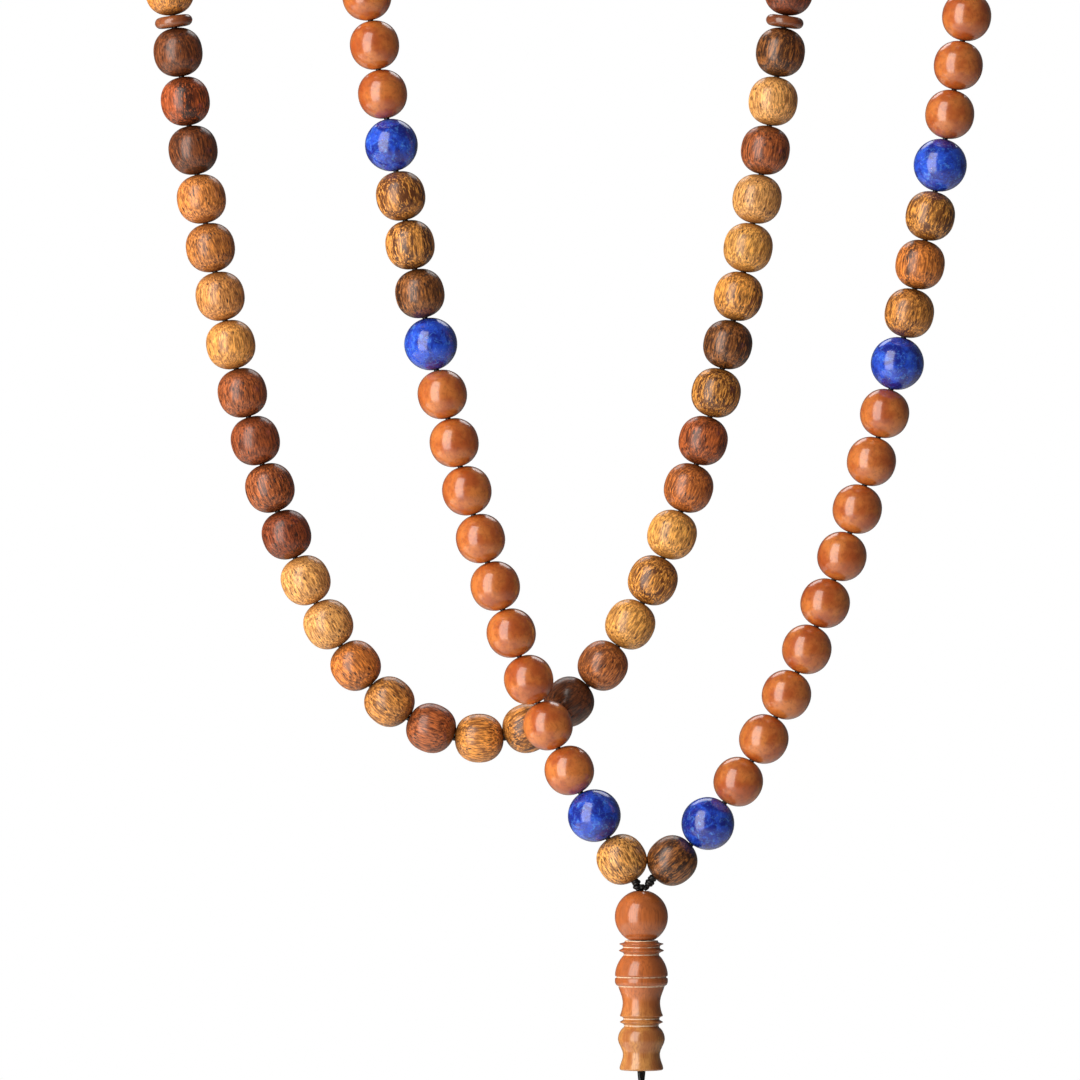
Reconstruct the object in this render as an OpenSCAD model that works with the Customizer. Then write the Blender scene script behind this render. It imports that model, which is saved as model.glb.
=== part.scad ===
// A closed string of prayer beads that hangs doubled over two pegs: a front
// loop that ends in the turned leader and its tassel, and a back loop behind it.

/* [Beads] */
// Nominal size of the wood and nut beads; the whole string grows with it
bead_size = 10; // [8:0.5:14]
// Diameter of a turned wood bead, as a share of the nominal size
wood_share = 1; // [0.97:0.01:1]
// Diameter of a polished nut bead, as a share of the nominal size
nut_share = 1; // [0.97:0.01:1.01]
// Diameter of a lapis bead, as a share of the nominal size
lapis_share = 1.08; // [1.02:0.01:1.08]
// How far each bead's drilled ends are faced back from a full ball
end_facing = 0.12; // [0.06:0.02:0.16]
// How much wider a drilled hole is than the cord in it
hole_slack = 0.12; // [0.06:0.02:0.18]

/* [Section discs] */
// Diameter of the two discs that part the sections
disc_d = 7.8; // [6:0.1:8.5]
// Thickness of a disc at its hole
disc_h = 2.4; // [1.8:0.1:2.4]

/* [Cord] */
// Diameter of the waxed cord that carries the beads
cord_d = 1.2; // [0.8:0.1:1.3]
// Diameter of the doubled cord that runs through the leader
core_d = 2.2; // [1.8:0.1:2.2]
// Diameter of the tail cord under the leader
tail_d = 1.9; // [1.5:0.1:1.9]
// Length of the tail cord from the leader to its knot
tail_len = 33; // [20:1:36]

/* [Leader] */
// Diameter of the leader's ball
ball_d = 10.8; // [10:0.1:10.8]
// Length of the turned stem under the ball
stem_len = 26.4; // [24:0.1:28]

/* [Tassel] */
// Length of the thread skirt under the binding
skirt_len = 44; // [30:1:46]
// Diameter of the skirt at its lower end
skirt_d = 12; // [8:0.5:13]

/* [Hidden] */
SIDES = ["left", "right"];
GROUPS = ["upper_nut_beads", "peg_nut_beads", "peg_lapis_bead", "peg_wood_beads",
    "peg_cord", "section_disc", "back_wood_beads", "cord_knots"];

$fn = 64;
k = bead_size / 10;              // everything that the bead size sets grows by this
hole_d = cord_d + hole_slack;
leader_hole_d = core_d + hole_slack;

WOOD = 0;
NUT = 1;
LAPIS = 2;
DISC = 3;

// The beads of one side, from the leader up to the section disc
PATTERN = [
    WOOD, LAPIS, each [for (i = [1:9]) NUT], LAPIS, WOOD, WOOD, WOOD, LAPIS,
    each [for (i = [1:9]) NUT], LAPIS, each [for (i = [1:7]) WOOD]
];
LAST_SINGLE = 15;                // beads 0 to 15 of a side are nodes of their own
LAST_FRONT = 21;                 // the last bead of the front loop
LAST_PEG = 28;                   // the last bead that lies over the peg
BACK_HALF = 16;                  // back beads on each side of the lowest one

gap = 0.11 * k;                  // slack between two beads
front_gap = 0.1 * k;
end_room = 0.06;                 // a cord's end stays this far from the next bead

// The two hanging loops are catenaries; the pegs' axes are at z = 0
loop_y = 6 * k;                  // half the distance between the loops
front_a = 36 * k;                // catenary constants: the curve's radius at its lowest point
back_a = 23.3 * k;
back_low = [-20 * k, -192.5 * k];

leader_top = [13 * k, -loop_y, -222.6 * k];
// Where each front strand starts above the leader, and how it sets out:
// offset in x and z, the first bead's angle, then the catenary's own arc length
START = [
    [[-1.2 * k, 2 * k], 123.5, 55 * k],
    [[2.4 * k, 2.7 * k], 40.5, 39.5 * k]
];

junction = leader_top + [0, 0, 0.6 * k];
stem_top_z = leader_top.z - 10.25 * k;
leader_foot = [leader_top.x, leader_top.y, stem_top_z - stem_len * k];
tail_end = leader_foot - [0, 0, tail_len * k];
knot_r = 2.1 * k;
knot_drop = sqrt(knot_r * knot_r - pow(tail_d * k / 2, 2));    // from its faced top to its centre
tassel_pivot = tail_end - [0, 0, knot_drop + knot_r];
binding_len = 5.5 * k;
binding_drop = 0.4 * k;          // how far the binding hangs below the tail's knot

// The leader: depths at the nominal size
ball_face = 10.15;               // below the ball's top, where it is faced off flat
mouth_depth = 0.9;               // how deep the ball's mouth is eased
foot_depth = 1;                  // how deep the hole in the stem's foot is eased
ease = 0.2;                      // how far the easing cut runs past the face

joining_d = 1.3;                 // the knot in the mouth of the leader's ball
lump_d = 1.5;                    // a stopper knot, where there is room for it
knot_gap = 0.07;                 // clearance at each end of the stopper knots

cord_black = [0.1, 0.1, 0.11];
thread_black = [0.09, 0.09, 0.1];

function asinh(v) = ln(v + sqrt(v * v + 1));
function size_of(kind) =
    kind == DISC ? disc_h * k :
    bead_size * (kind == WOOD ? wood_share : kind == NUT ? nut_share : lapis_share);
function sign_of(side) = side == "left" ? -1 : 1;
function at(side) = side == "left" ? 0 : 1;
function unit(v) = v / norm(v);
function mean(a, b) = (a + b) / 2;

// A piece takes more of a curved cord than its own size, because neighbours
// meet on the inside of the bend
function taken(size, slack, radius) = (size + slack) / cos(size / radius * 90 / PI);
function radius_at(a, s) = a + s * s / a;

// Front strand: the point where bead 0 ends, then the catenary from there up
function strand_start(side) =
    let (o = START[at(side)], reach = size_of(WOOD) + front_gap)
    [leader_top.x + o[0].x + reach * cos(o[1]), leader_top.z + o[0].y + reach * sin(o[1])];
function front_point(side, s) =
    let (a = front_a, s1 = START[at(side)][2], p = strand_start(side))
    [p.x + sign_of(side) * a * (asinh(s / a) - asinh(s1 / a)),
     -loop_y,
     p.y + norm([a, s]) - norm([a, s1])];
function front_ends(side) =
    let (s1 = START[at(side)][2])
    [for (i = 1, s = s1; i <= LAST_FRONT + 1;
          s = s + taken(size_of(PATTERN[i]), front_gap, radius_at(front_a, s)), i = i + 1) s];

// Back loop: half a bead from its lowest point, then up on each side
function back_point(side, s) =
    [back_low.x + sign_of(side) * back_a * asinh(s / back_a), loop_y,
     back_low.y + norm([back_a, s]) - back_a];
BACK_KINDS = concat([for (i = [1:BACK_HALF]) WOOD], [DISC], [for (i = [LAST_PEG + 1:32]) WOOD]);
function back_ends() =
    [for (i = 0, s = taken(size_of(WOOD), gap, back_a) / 2; i <= len(BACK_KINDS);
          s = s + taken(size_of(BACK_KINDS[min(i, len(BACK_KINDS) - 1)]), gap,
              radius_at(back_a, s + size_of(WOOD) / 2)), i = i + 1) s];

// Over the peg: up the front strand, half a turn, and down the back strand
function front_rise(side, z) =
    let (p = strand_start(side), s1 = START[at(side)][2])
    sqrt(pow(norm([front_a, s1]) + z - p.y, 2) - front_a * front_a);
function back_rise(z) = sqrt(pow(back_a - back_low.y + z, 2) - back_a * back_a);
function front_x(side, z) = front_point(side, front_rise(side, z)).x;
function back_x(side, z) = back_point(side, back_rise(z)).x;
function peg_radius(side, z) = abs(front_x(side, z) - back_x(side, z)) / 2;
function turn_len(side, z) = norm([PI * peg_radius(side, z), 2 * loop_y]);
function last(v) = v[len(v) - 1];
function route_len(side, z) =
    front_rise(side, z) - last(front_ends(side)) + turn_len(side, z)
    + back_rise(z) - last(back_ends());

// The beads over a peg, each a chord across the turn, and the height at which they just fill it
PEG_SIZES = [for (i = [LAST_FRONT + 1:LAST_PEG]) size_of(PATTERN[i])];
peg_slack = 0.5 * k;
turn_slack = 0.65 * k;
PEG_TAKEN = [for (i = [0:len(PEG_SIZES) - 1])
    PEG_SIZES[i] + (i == 0 || i == len(PEG_SIZES) - 1 ? peg_slack : turn_slack)];
function total(v, i = 0) = i < len(v) ? v[i] + total(v, i + 1) : 0;
wanted = total(PEG_TAKEN);
function peg_z(side, z = 0, tries = 5) =
    tries == 0 ? z : peg_z(side, z + (wanted - route_len(side, z)) / 2, tries - 1);
PEG_Z = [peg_z("left"), peg_z("right")];

function over_peg(side, u) =
    let (z = PEG_Z[at(side)], s0 = last(front_ends(side)), up = front_rise(side, z) - s0,
         turn = turn_len(side, z), t = (u - up) / turn * 180, r = peg_radius(side, z))
    u <= up ? front_point(side, s0 + u) :
    t >= 180 ? back_point(side, back_rise(z) + up + turn - u) :
    [(front_x(side, z) + back_x(side, z)) / 2 + r * cos(t), -loop_y * cos(t), z + r * sin(t)];
function peg_ends(side) =
    [for (i = 0, u = 0; i <= len(PEG_TAKEN);
          u = u + PEG_TAKEN[min(i, len(PEG_TAKEN) - 1)], i = i + 1) over_peg(side, u)];

// Every end point along one side, from the leader to the lowest back bead
function side_ends(side) =
    let (o = START[at(side)], f = front_ends(side), b = back_ends(), p = peg_ends(side))
    concat(
        [[leader_top.x + o[0].x, -loop_y, leader_top.z + o[0].y]],
        [for (s = f) front_point(side, s)],
        [for (i = [1:len(p) - 2]) p[i]],
        [for (i = [len(b) - 1:-1:0]) back_point(side, b[i])]
    );
LEFT_ENDS = side_ends("left");
RIGHT_ENDS = side_ends("right");
function ends(side) = side == "left" ? LEFT_ENDS : RIGHT_ENDS;
KINDS = concat(PATTERN, [DISC], [for (i = [1:BACK_HALF]) WOOD]);
DISC_AT = len(PATTERN);

function bead_name(side, i) =
    let (kind = PATTERN[i], place = len([for (j = [0:i]) if (PATTERN[j] == kind) j]))
    str(side, kind == WOOD ? "_wood_bead_" : kind == NUT ? "_nut_bead_" : "_lapis_bead_", place);

// Draws its children centred between two points, with +Z along the line from one to the other
module between(a, b) {
    d = b - a;
    translate(mean(a, b))
        rotate([0, acos(d.z / norm(d)), atan2(d.y, d.x)])
            children();
}

// A ball with faced ends and a drilled hole
module ball(kind) {
    d = size_of(kind);
    color(kind == WOOD ? "peru" : kind == NUT ? "sienna" : "mediumblue")
        difference() {
            intersection() {
                sphere(d = d);
                cube([2 * d, 2 * d, d - end_facing * k], center = true);
            }
            cylinder(h = 2 * d, d = hole_d * k, center = true);
        }
}

// A flat bead with a rounded rim
module disc() {
    rim = disc_h * k / 2;
    color("sienna")
        rotate_extrude()
            difference() {
                union() {
                    translate([disc_d * k / 2 - rim, 0]) circle(r = rim);
                    translate([0, -rim]) square([disc_d * k / 2 - rim, 2 * rim]);
                }
                translate([-1, -2 * rim]) square([1 + hole_d * k / 2, 4 * rim]);
            }
}

module string_piece(side, i) {
    between(ends(side)[i], ends(side)[i + 1])
        if (KINDS[i] == DISC) disc();
        else ball(KINDS[i]);
}

module pieces(side, first, last, kind) {
    for (i = [first:last])
        if (KINDS[i] == kind) string_piece(side, i);
}

// One polyhedron swept through the points, square to the cord at its ends and mitred at each bend
module cord_through(points, d, sides = 8) {
    n = len(points);
    along = [for (i = [0:n - 2]) unit(points[i + 1] - points[i])];
    mitre = [for (i = [0:n - 1])
        i == 0 ? along[0] : i == n - 1 ? along[n - 2] : unit(along[i - 1] + along[i])];
    rings = [for (i = [0:n - 1])
        let (dir = along[min(i, n - 2)], u = unit(cross(dir, [0.02, 1, 0.01])), v = cross(dir, u))
        [for (j = [0:sides - 1])
            let (q = d / 2 * (cos(360 * j / sides) * u + sin(360 * j / sides) * v))
            points[i] + q - dir * (q * mitre[i]) / (dir * mitre[i])]];
    color(cord_black)
        polyhedron(
            points = [for (r = rings) each r],
            faces = concat(
                [[for (j = [0:sides - 1]) j]],
                [for (i = [0:n - 2], j = [0:sides - 1])
                    let (m = (j + 1) % sides)
                    each [[i * sides + j, (i + 1) * sides + j, (i + 1) * sides + m],
                          [i * sides + j, (i + 1) * sides + m, i * sides + m]]],
                [[for (j = [sides - 1:-1:0]) (n - 1) * sides + j]]
            )
        );
}

// The stretch of end points from one index to another, its two ends drawn back from the next bead
function stretch(side, first, last) =
    let (p = ends(side))
    [for (i = [first:last])
        i == first ? p[i] + end_room * k * unit(p[i + 1] - p[i]) :
        i == last ? p[i] - end_room * k * unit(p[i] - p[i - 1]) : p[i]];
function reversed(v) = [for (i = [len(v) - 1:-1:0]) v[i]];

module front_cord() {
    for (side = SIDES)
        cord_through(stretch(side, 0, LAST_FRONT + 1), cord_d * k);
}

module back_cord() {
    left = stretch("left", LAST_PEG + 1, len(LEFT_ENDS) - 1);
    right = stretch("right", LAST_PEG + 1, len(RIGHT_ENDS) - 1);
    cord_through(concat([for (i = [0:len(left) - 2]) left[i]], [LEFT_ENDS[len(LEFT_ENDS) - 1],
        RIGHT_ENDS[len(RIGHT_ENDS) - 1]], reversed([for (i = [0:len(right) - 2]) right[i]])),
        cord_d * k);
}

module peg_cord(side) {
    cord_through(stretch(side, LAST_FRONT + 1, LAST_PEG + 1), cord_d * k);
}

// The stopper knots on one strand, between its first bead and the joining knot;
// a short strand has room for one, a longer one for two
module cord_knots(side) {
    a = ends(side)[0];
    dir = unit(junction - a);
    room = norm(junction - a) - joining_d * k / 2 - 2 * knot_gap * k;
    lump = min(lump_d * k, room);
    color(cord_black)
        for (reach = room > lump ? [lump / 2, room - lump / 2] : [lump / 2])
            translate(a + dir * (knot_gap * k + reach)) sphere(d = lump);
}

module joining_knot() {
    color(cord_black)
        translate(junction) sphere(d = joining_d * k);
}

module leader_cord() {
    top = leader_top.z - 0.7 * k;
    foot = leader_foot.z + 0.8 * k;
    color(cord_black)
        translate([leader_top.x, leader_top.y, foot])
            cylinder(h = top - foot, d = core_d * k);
}

// The turned ball at the leader's head, flat underneath where the stem meets it
module leader_ball() {
    color("sienna")
        translate(leader_top)
            difference() {
                translate([0, 0, -ball_d * k / 2]) sphere(d = ball_d * k);
                translate([0, 0, -(ball_face + ball_d / 2) * k])
                    cube([2, 2, 1] * ball_d * k, center = true);
                cylinder(h = 3 * ball_d * k, d = leader_hole_d * k, center = true);
                translate([0, 0, -mouth_depth * k])
                    cylinder(h = (mouth_depth + ease) * k, r1 = leader_hole_d * k / 2,
                        r2 = leader_hole_d * k);
            }
}

// Stretches of the stem's outline, as radius and depth below the stem's top
function eased(p, q, n = 8) =
    [for (i = [0:n]) [p.x + (q.x - p.x) * (1 - cos(180 * i / n)) / 2, p.y + (q.y - p.y) * i / n]];
function domed(p, q, n = 8) =
    [for (i = [0:n]) [p.x + (q.x - p.x) * sin(90 * i / n), q.y + (p.y - q.y) * cos(90 * i / n)]];
STEM_OUTLINE = concat(
    [[3.35, 0], [3.45, 0.35], [4.5, 0.62], [4.5, 0.78], [3.8, 1.1], [3.8, 1.6]],
    [[4.57, 2], [4.57, 2.16], [3.6, 2.55], [3.57, 2.95]],
    domed([3.6, 3.05], [5.36, 6.8]),
    [[5.36, 7.25], [5, 7.35], [5, 7.55], [5.36, 7.65], [5.4, 8.2]],
    domed([5.36, 8.6], [5.02, 9.15], 3),
    [[4.7, 9.25], [4.7, 9.5]],
    eased([4.6, 9.6], [3.74, 12.6]),
    eased([3.74, 12.6], [4.35, 15.2]),
    [[4.3, 15.4], [3.65, 15.7], [3.65, 16.15], [4.38, 16.5], [4.38, 16.64], [3.5, 17.05], [3.5, 17.5]],
    domed([3.6, 17.6], [4.77, 19.9]),
    eased([4.77, 19.9], [3.8, 23.1]),
    eased([3.8, 23.1], [4.43, 25.9]),
    [[4.35, 26.2], [4.1, 26.4]]
);

module leader_stem() {
    stretch_z = stem_len / last(STEM_OUTLINE).y;
    color("peru")
        translate([leader_top.x, leader_top.y, stem_top_z])
            difference() {
                rotate_extrude()
                    polygon(concat([[0, 0]],
                        [for (p = STEM_OUTLINE) [p.x * k, -p.y * k * stretch_z]],
                        [[0, -stem_len * k]]));
                cylinder(h = 3 * stem_len * k, d = leader_hole_d * k, center = true);
                translate([0, 0, -(stem_len + ease) * k])
                    cylinder(h = (foot_depth + ease) * k, r1 = 0.75 * leader_hole_d * k,
                        r2 = leader_hole_d * k / 2);
            }
}

tail_rings = 8;

module tail_cord() {
    cord_through([for (i = [0:tail_rings])
        leader_foot - [0, 0, tail_len * k * i / tail_rings]], tail_d * k);
}

// A round knot, faced on top where the cord enters it
module tail_knot() {
    color(cord_black)
        translate(tail_end)
            difference() {
                translate([0, 0, -knot_drop]) sphere(r = knot_r);
                translate([-knot_r, -knot_r, -0.04 * k]) cube(2 * knot_r);
            }
}

module tassel_binding() {
    color(thread_black)
        translate(tassel_pivot - [0, 0, binding_drop])
            rotate_extrude()
                polygon([[0, 0], [1.4 * k, 0], [2.5 * k, -1 * k], [2.75 * k, -2.2 * k],
                    [2.75 * k, -binding_len + 1 * k], [2.5 * k, -binding_len], [0, -binding_len]]);
}

module tassel_skirt() {
    r0 = 2.4 * k;
    r1 = skirt_d * k / 2;
    outline = [for (i = [0:12])
        let (t = i / 12) [r0 + (r1 - r0) * pow(sin(90 * t), 0.8), -t * skirt_len * k]];
    color(thread_black)
        translate(tassel_pivot - [0, 0, binding_drop + binding_len])
            rotate_extrude()
                polygon(concat([[0, 0]], outline, [[0, -skirt_len * k]]));
}

for (side = SIDES) {
    for (i = [0:LAST_SINGLE])
        string_piece(side, i);
    pieces(side, LAST_SINGLE + 1, LAST_FRONT, NUT);
    pieces(side, LAST_FRONT + 1, LAST_PEG, NUT);
    pieces(side, LAST_FRONT + 1, LAST_PEG, LAPIS);
    pieces(side, LAST_FRONT + 1, LAST_PEG, WOOD);
    peg_cord(side);
    string_piece(side, DISC_AT);
    pieces(side, LAST_PEG + 1, len(KINDS) - 1, WOOD);
    cord_knots(side);
}
between(LEFT_ENDS[len(LEFT_ENDS) - 1], RIGHT_ENDS[len(RIGHT_ENDS) - 1]) ball(WOOD);  // lowest_back_bead
front_cord();
back_cord();
joining_knot();
leader_cord();
leader_ball();
leader_stem();
tail_cord();
tail_knot();
tassel_binding();
tassel_skirt();
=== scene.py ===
import functools
import math
import random

import bmesh
import bpy
from mathutils import Matrix, Vector, noise


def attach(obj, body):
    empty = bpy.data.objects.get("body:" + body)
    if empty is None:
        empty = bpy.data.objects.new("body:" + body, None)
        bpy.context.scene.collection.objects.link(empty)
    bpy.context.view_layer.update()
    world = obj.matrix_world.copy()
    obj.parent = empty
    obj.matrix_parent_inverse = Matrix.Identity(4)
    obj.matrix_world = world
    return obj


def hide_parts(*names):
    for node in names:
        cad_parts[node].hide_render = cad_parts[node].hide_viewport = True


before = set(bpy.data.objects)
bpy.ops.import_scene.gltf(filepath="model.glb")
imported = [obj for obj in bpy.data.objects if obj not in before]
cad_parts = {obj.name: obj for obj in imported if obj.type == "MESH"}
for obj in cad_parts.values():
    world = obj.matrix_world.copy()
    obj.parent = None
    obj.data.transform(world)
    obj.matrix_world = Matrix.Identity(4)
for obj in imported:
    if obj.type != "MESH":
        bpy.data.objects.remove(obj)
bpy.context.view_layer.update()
print("frame loaded:", len(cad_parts), "nodes")

mm = 0.001


view = {
    "centre": (-7.6, -151.5),   # x and z that the lens points at, mm
    "field": 219.9,             # width seen at the beads, mm
    "distance": 2.6,            # m
    "sensor": 36.0,
}

cameraData = bpy.data.cameras.new("viewCamera")
cameraData.sensor_width = view["sensor"]
cameraData.lens = view["sensor"] * view["distance"] / (view["field"] * mm)
cameraData.clip_end = 20
camera = bpy.data.objects.new("viewCamera", cameraData)
camera.location = (view["centre"][0] * mm, -view["distance"], view["centre"][1] * mm)
camera.rotation_euler = (math.radians(90), 0, 0)
bpy.context.scene.collection.objects.link(camera)
bpy.context.scene.camera = camera
bpy.context.scene.view_settings.view_transform = "Standard"
bpy.context.scene.view_settings.look = "None"
print("camera placed")


def linear(colour):
    # sRGB hex to the linear value that the shaders take
    parts = [int(colour[i:i + 2], 16) / 255 for i in (1, 3, 5)]
    return tuple(c / 12.92 if c <= 0.04045 else ((c + 0.055) / 1.055) ** 2.4 for c in parts)


def colourOf(colour):
    return (*linear(colour), 1.0)


def fill(tree, node, inputs):
    # Links each input that is given a socket and sets the others
    for key, value in inputs.items():
        if isinstance(value, bpy.types.NodeSocket):
            tree.links.new(value, node.inputs[key])
        else:
            node.inputs[key].default_value = value


def addNode(tree, kind, inputs, output=0, **settings):
    # Inputs go by name or place: Map Range takes value, from min, from max, to min, to max,
    # and Mix takes the factor at 0 and its colours at 6 and 7. None gives back every output.
    made = tree.nodes.new("ShaderNode" + kind)
    made.location.x = -60 * len(tree.nodes)
    for key, value in settings.items():
        setattr(made, key, value)
    fill(tree, made, inputs)
    return made.outputs if output is None else made.outputs[output]


def newMaterial(name):
    made = bpy.data.materials.new(name)
    made.use_nodes = True
    return made, functools.partial(addNode, made.node_tree)


def setShader(material, inputs):
    fill(material.node_tree, material.node_tree.nodes["Principled BSDF"], inputs)


def finishMesh(name, bm, material):
    bmesh.ops.recalc_face_normals(bm, faces=bm.faces)
    for face in bm.faces:
        face.smooth = True
    mesh = bpy.data.meshes.new(name)
    bm.to_mesh(mesh)
    bm.free()
    mesh.materials.append(material)
    made = bpy.data.objects.new(name, mesh)
    bpy.context.scene.collection.objects.link(made)
    return made


def spun(profile, steps):
    # Turns a closed outline of (radius, height) points about the upright axis
    bm = bmesh.new()
    line = [bm.verts.new((r, 0, z)) for r, z in profile]
    edges = [bm.edges.new(pair) for pair in zip(line, line[1:] + line[:1])]
    bmesh.ops.spin(bm, geom=line + edges, cent=(0, 0, 0), axis=(0, 0, 1),
                   angle=math.tau, steps=steps, use_merge=True)
    bmesh.ops.remove_doubles(bm, verts=bm.verts, dist=1e-5)
    bmesh.ops.recalc_face_normals(bm, faces=bm.faces)
    return bm


def turnTo(direction, roll=0.0):
    # Rotation that takes +Z to the direction, after a roll about it
    return direction.to_track_quat("Z", "Y").to_matrix().to_4x4() @ Matrix.Rotation(roll, 4, "Z")


def sweepTube(bm, points, radius, sides, swell=None):
    # A tube with closed ends: a disc, extruded from point to point. Each vertex keeps its
    # place round the tube and the distance along it, in mm.
    tube = bmesh.new()
    mark = tube.verts.layers.float_vector.new("along")
    bmesh.ops.create_circle(tube, cap_ends=True, segments=sides, radius=1.0)
    for vert in tube.verts:
        vert[mark] = vert.co
    cap = tube.faces[:][0]
    across = None
    travelled = 0.0
    for i, point in enumerate(points):
        ahead = points[min(i + 1, len(points) - 1)] - points[max(i - 1, 0)]
        ahead.normalize()
        if across is None:
            across = ahead.orthogonal().normalized()
        across = (across - ahead * across.dot(ahead)).normalized()
        side = ahead.cross(across)
        if i:
            travelled += (point - points[i - 1]).length
            before = cap
            grown = bmesh.ops.extrude_face_region(tube, geom=[before])["geom"]
            cap = next(part for part in grown if isinstance(part, bmesh.types.BMFace))
            if i > 1:
                bmesh.ops.delete(tube, geom=[before], context="FACES_ONLY")
        size = radius * (swell[i] if swell else 1)
        for vert in cap.verts:
            x, y, _ = vert[mark]
            vert.co = point + (across * x + side * y) * size
            vert[mark] = (x, y, travelled / mm)
    mesh = bpy.data.meshes.new("tube")
    tube.to_mesh(mesh)
    tube.free()
    bm.from_mesh(mesh)
    bpy.data.meshes.remove(mesh)


# The string's route: two catenaries and a half turn over each peg, in mm. Left and right give
# where a strand starts from the leader's top, the angle of its first bead in degrees, and
# where on the catenary it goes on.
route = {
    "wood": 10.0, "nut": 10.0, "lapis": 10.8, "disc": 2.4,
    "frontGap": 0.1, "backGap": 0.11, "pegSlack": 0.5, "turnSlack": 0.65,
    "loopY": 6.0, "frontCurve": 36.0, "backCurve": 23.3,
    "backLow": (-20.0, -192.5),
    "leaderTop": (13.0, -222.6),
    "leaderLength": 36.65,
    "left": (-1.2, 2.0, 123.5, 55.0),
    "right": (2.4, 2.7, 40.5, 39.5),
}
pattern = (["wood", "lapis"] + ["nut"] * 9 + ["lapis"] + ["wood"] * 3 + ["lapis"]
           + ["nut"] * 9 + ["lapis"] + ["wood"] * 7)
kinds = pattern + ["disc"] + ["wood"] * 16
signs = {"left": -1, "right": 1}
# The last bead with a joint of its own, the last of the front stretch and the last over the peg
lastSingle, lastFront, lastPeg = 15, 21, 28


def taken(size, slack, radius):
    # Length of curve under a straight piece, where the curve has this radius
    return (size + slack) / math.cos(size / radius / 2)


def frontPoint(side, s):
    x, z, angle, first = route[side]
    a = route["frontCurve"]
    reach = route["wood"] + route["frontGap"]
    startX = route["leaderTop"][0] + x + reach * math.cos(math.radians(angle))
    startZ = route["leaderTop"][1] + z + reach * math.sin(math.radians(angle))
    return Vector((startX + signs[side] * a * (math.asinh(s / a) - math.asinh(first / a)),
                   -route["loopY"], startZ + math.hypot(a, s) - math.hypot(a, first)))


def frontRise(side, z):
    a, first = route["frontCurve"], route[side][3]
    lift = math.hypot(a, first) + z - frontPoint(side, first).z
    return math.sqrt(lift * lift - a * a)


def backPoint(side, s):
    a = route["backCurve"]
    return Vector((route["backLow"][0] + signs[side] * a * math.asinh(s / a),
                   route["loopY"], route["backLow"][1] + math.hypot(a, s) - a))


def backRise(z):
    a = route["backCurve"]
    return math.sqrt((a - route["backLow"][1] + z) ** 2 - a * a)


def frontEnds(side):
    a = route["frontCurve"]
    ends = [route[side][3]]
    for kind in pattern[1:lastFront + 1]:
        s = ends[-1]
        ends.append(s + taken(route[kind], route["frontGap"], a + s * s / a))
    return ends


def backEnds():
    a = route["backCurve"]
    ends = [taken(route["wood"], route["backGap"], a) / 2]
    for kind in ["wood"] * 16 + ["disc"] + ["wood"] * 4:
        s = ends[-1]
        ends.append(s + taken(route[kind], route["backGap"], a + (s + route["wood"] / 2) ** 2 / a))
    return ends


def pegEnds(side):
    front, back = frontEnds(side)[-1], backEnds()[-1]
    spans = [route[kind] + (route["pegSlack"] if i in (0, 6) else route["turnSlack"])
             for i, kind in enumerate(pattern[lastFront + 1:lastPeg + 1])]

    def shape(z):
        a, b = frontPoint(side, frontRise(side, z)), backPoint(side, backRise(z))
        radius = abs(a.x - b.x) / 2
        return (a.x + b.x) / 2, radius, math.hypot(math.pi * radius, 2 * route["loopY"])

    z = 0.0
    for _ in range(5):
        length = frontRise(side, z) - front + shape(z)[2] + backRise(z) - back
        z += (sum(spans) - length) / 2
    x, radius, turn = shape(z)
    up = frontRise(side, z) - front
    points, u = [], 0.0
    for span in spans + [0]:
        t = (u - up) / turn * math.pi
        if t <= 0:
            points.append(frontPoint(side, front + u))
        elif t >= math.pi:
            points.append(backPoint(side, backRise(z) + up + turn - u))
        else:
            points.append(Vector((x + radius * math.cos(t), -route["loopY"] * math.cos(t),
                                  z + radius * math.sin(t))))
        u += span
    return points


def stringEnds(side):
    x, z = route[side][:2]
    first = Vector((route["leaderTop"][0] + x, -route["loopY"], route["leaderTop"][1] + z))
    return ([first] + [frontPoint(side, s) for s in frontEnds(side)] + pegEnds(side)[1:-1]
            + [backPoint(side, s) for s in reversed(backEnds())])


ends = {side: [p * mm for p in stringEnds(side)] for side in signs}
leaderTop = Vector((route["leaderTop"][0], -route["loopY"], route["leaderTop"][1])) * mm
leaderFoot = leaderTop - Vector((0, 0, route["leaderLength"] * mm))
print("route worked out:", len(ends["left"]) + len(ends["right"]), "points")


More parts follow.
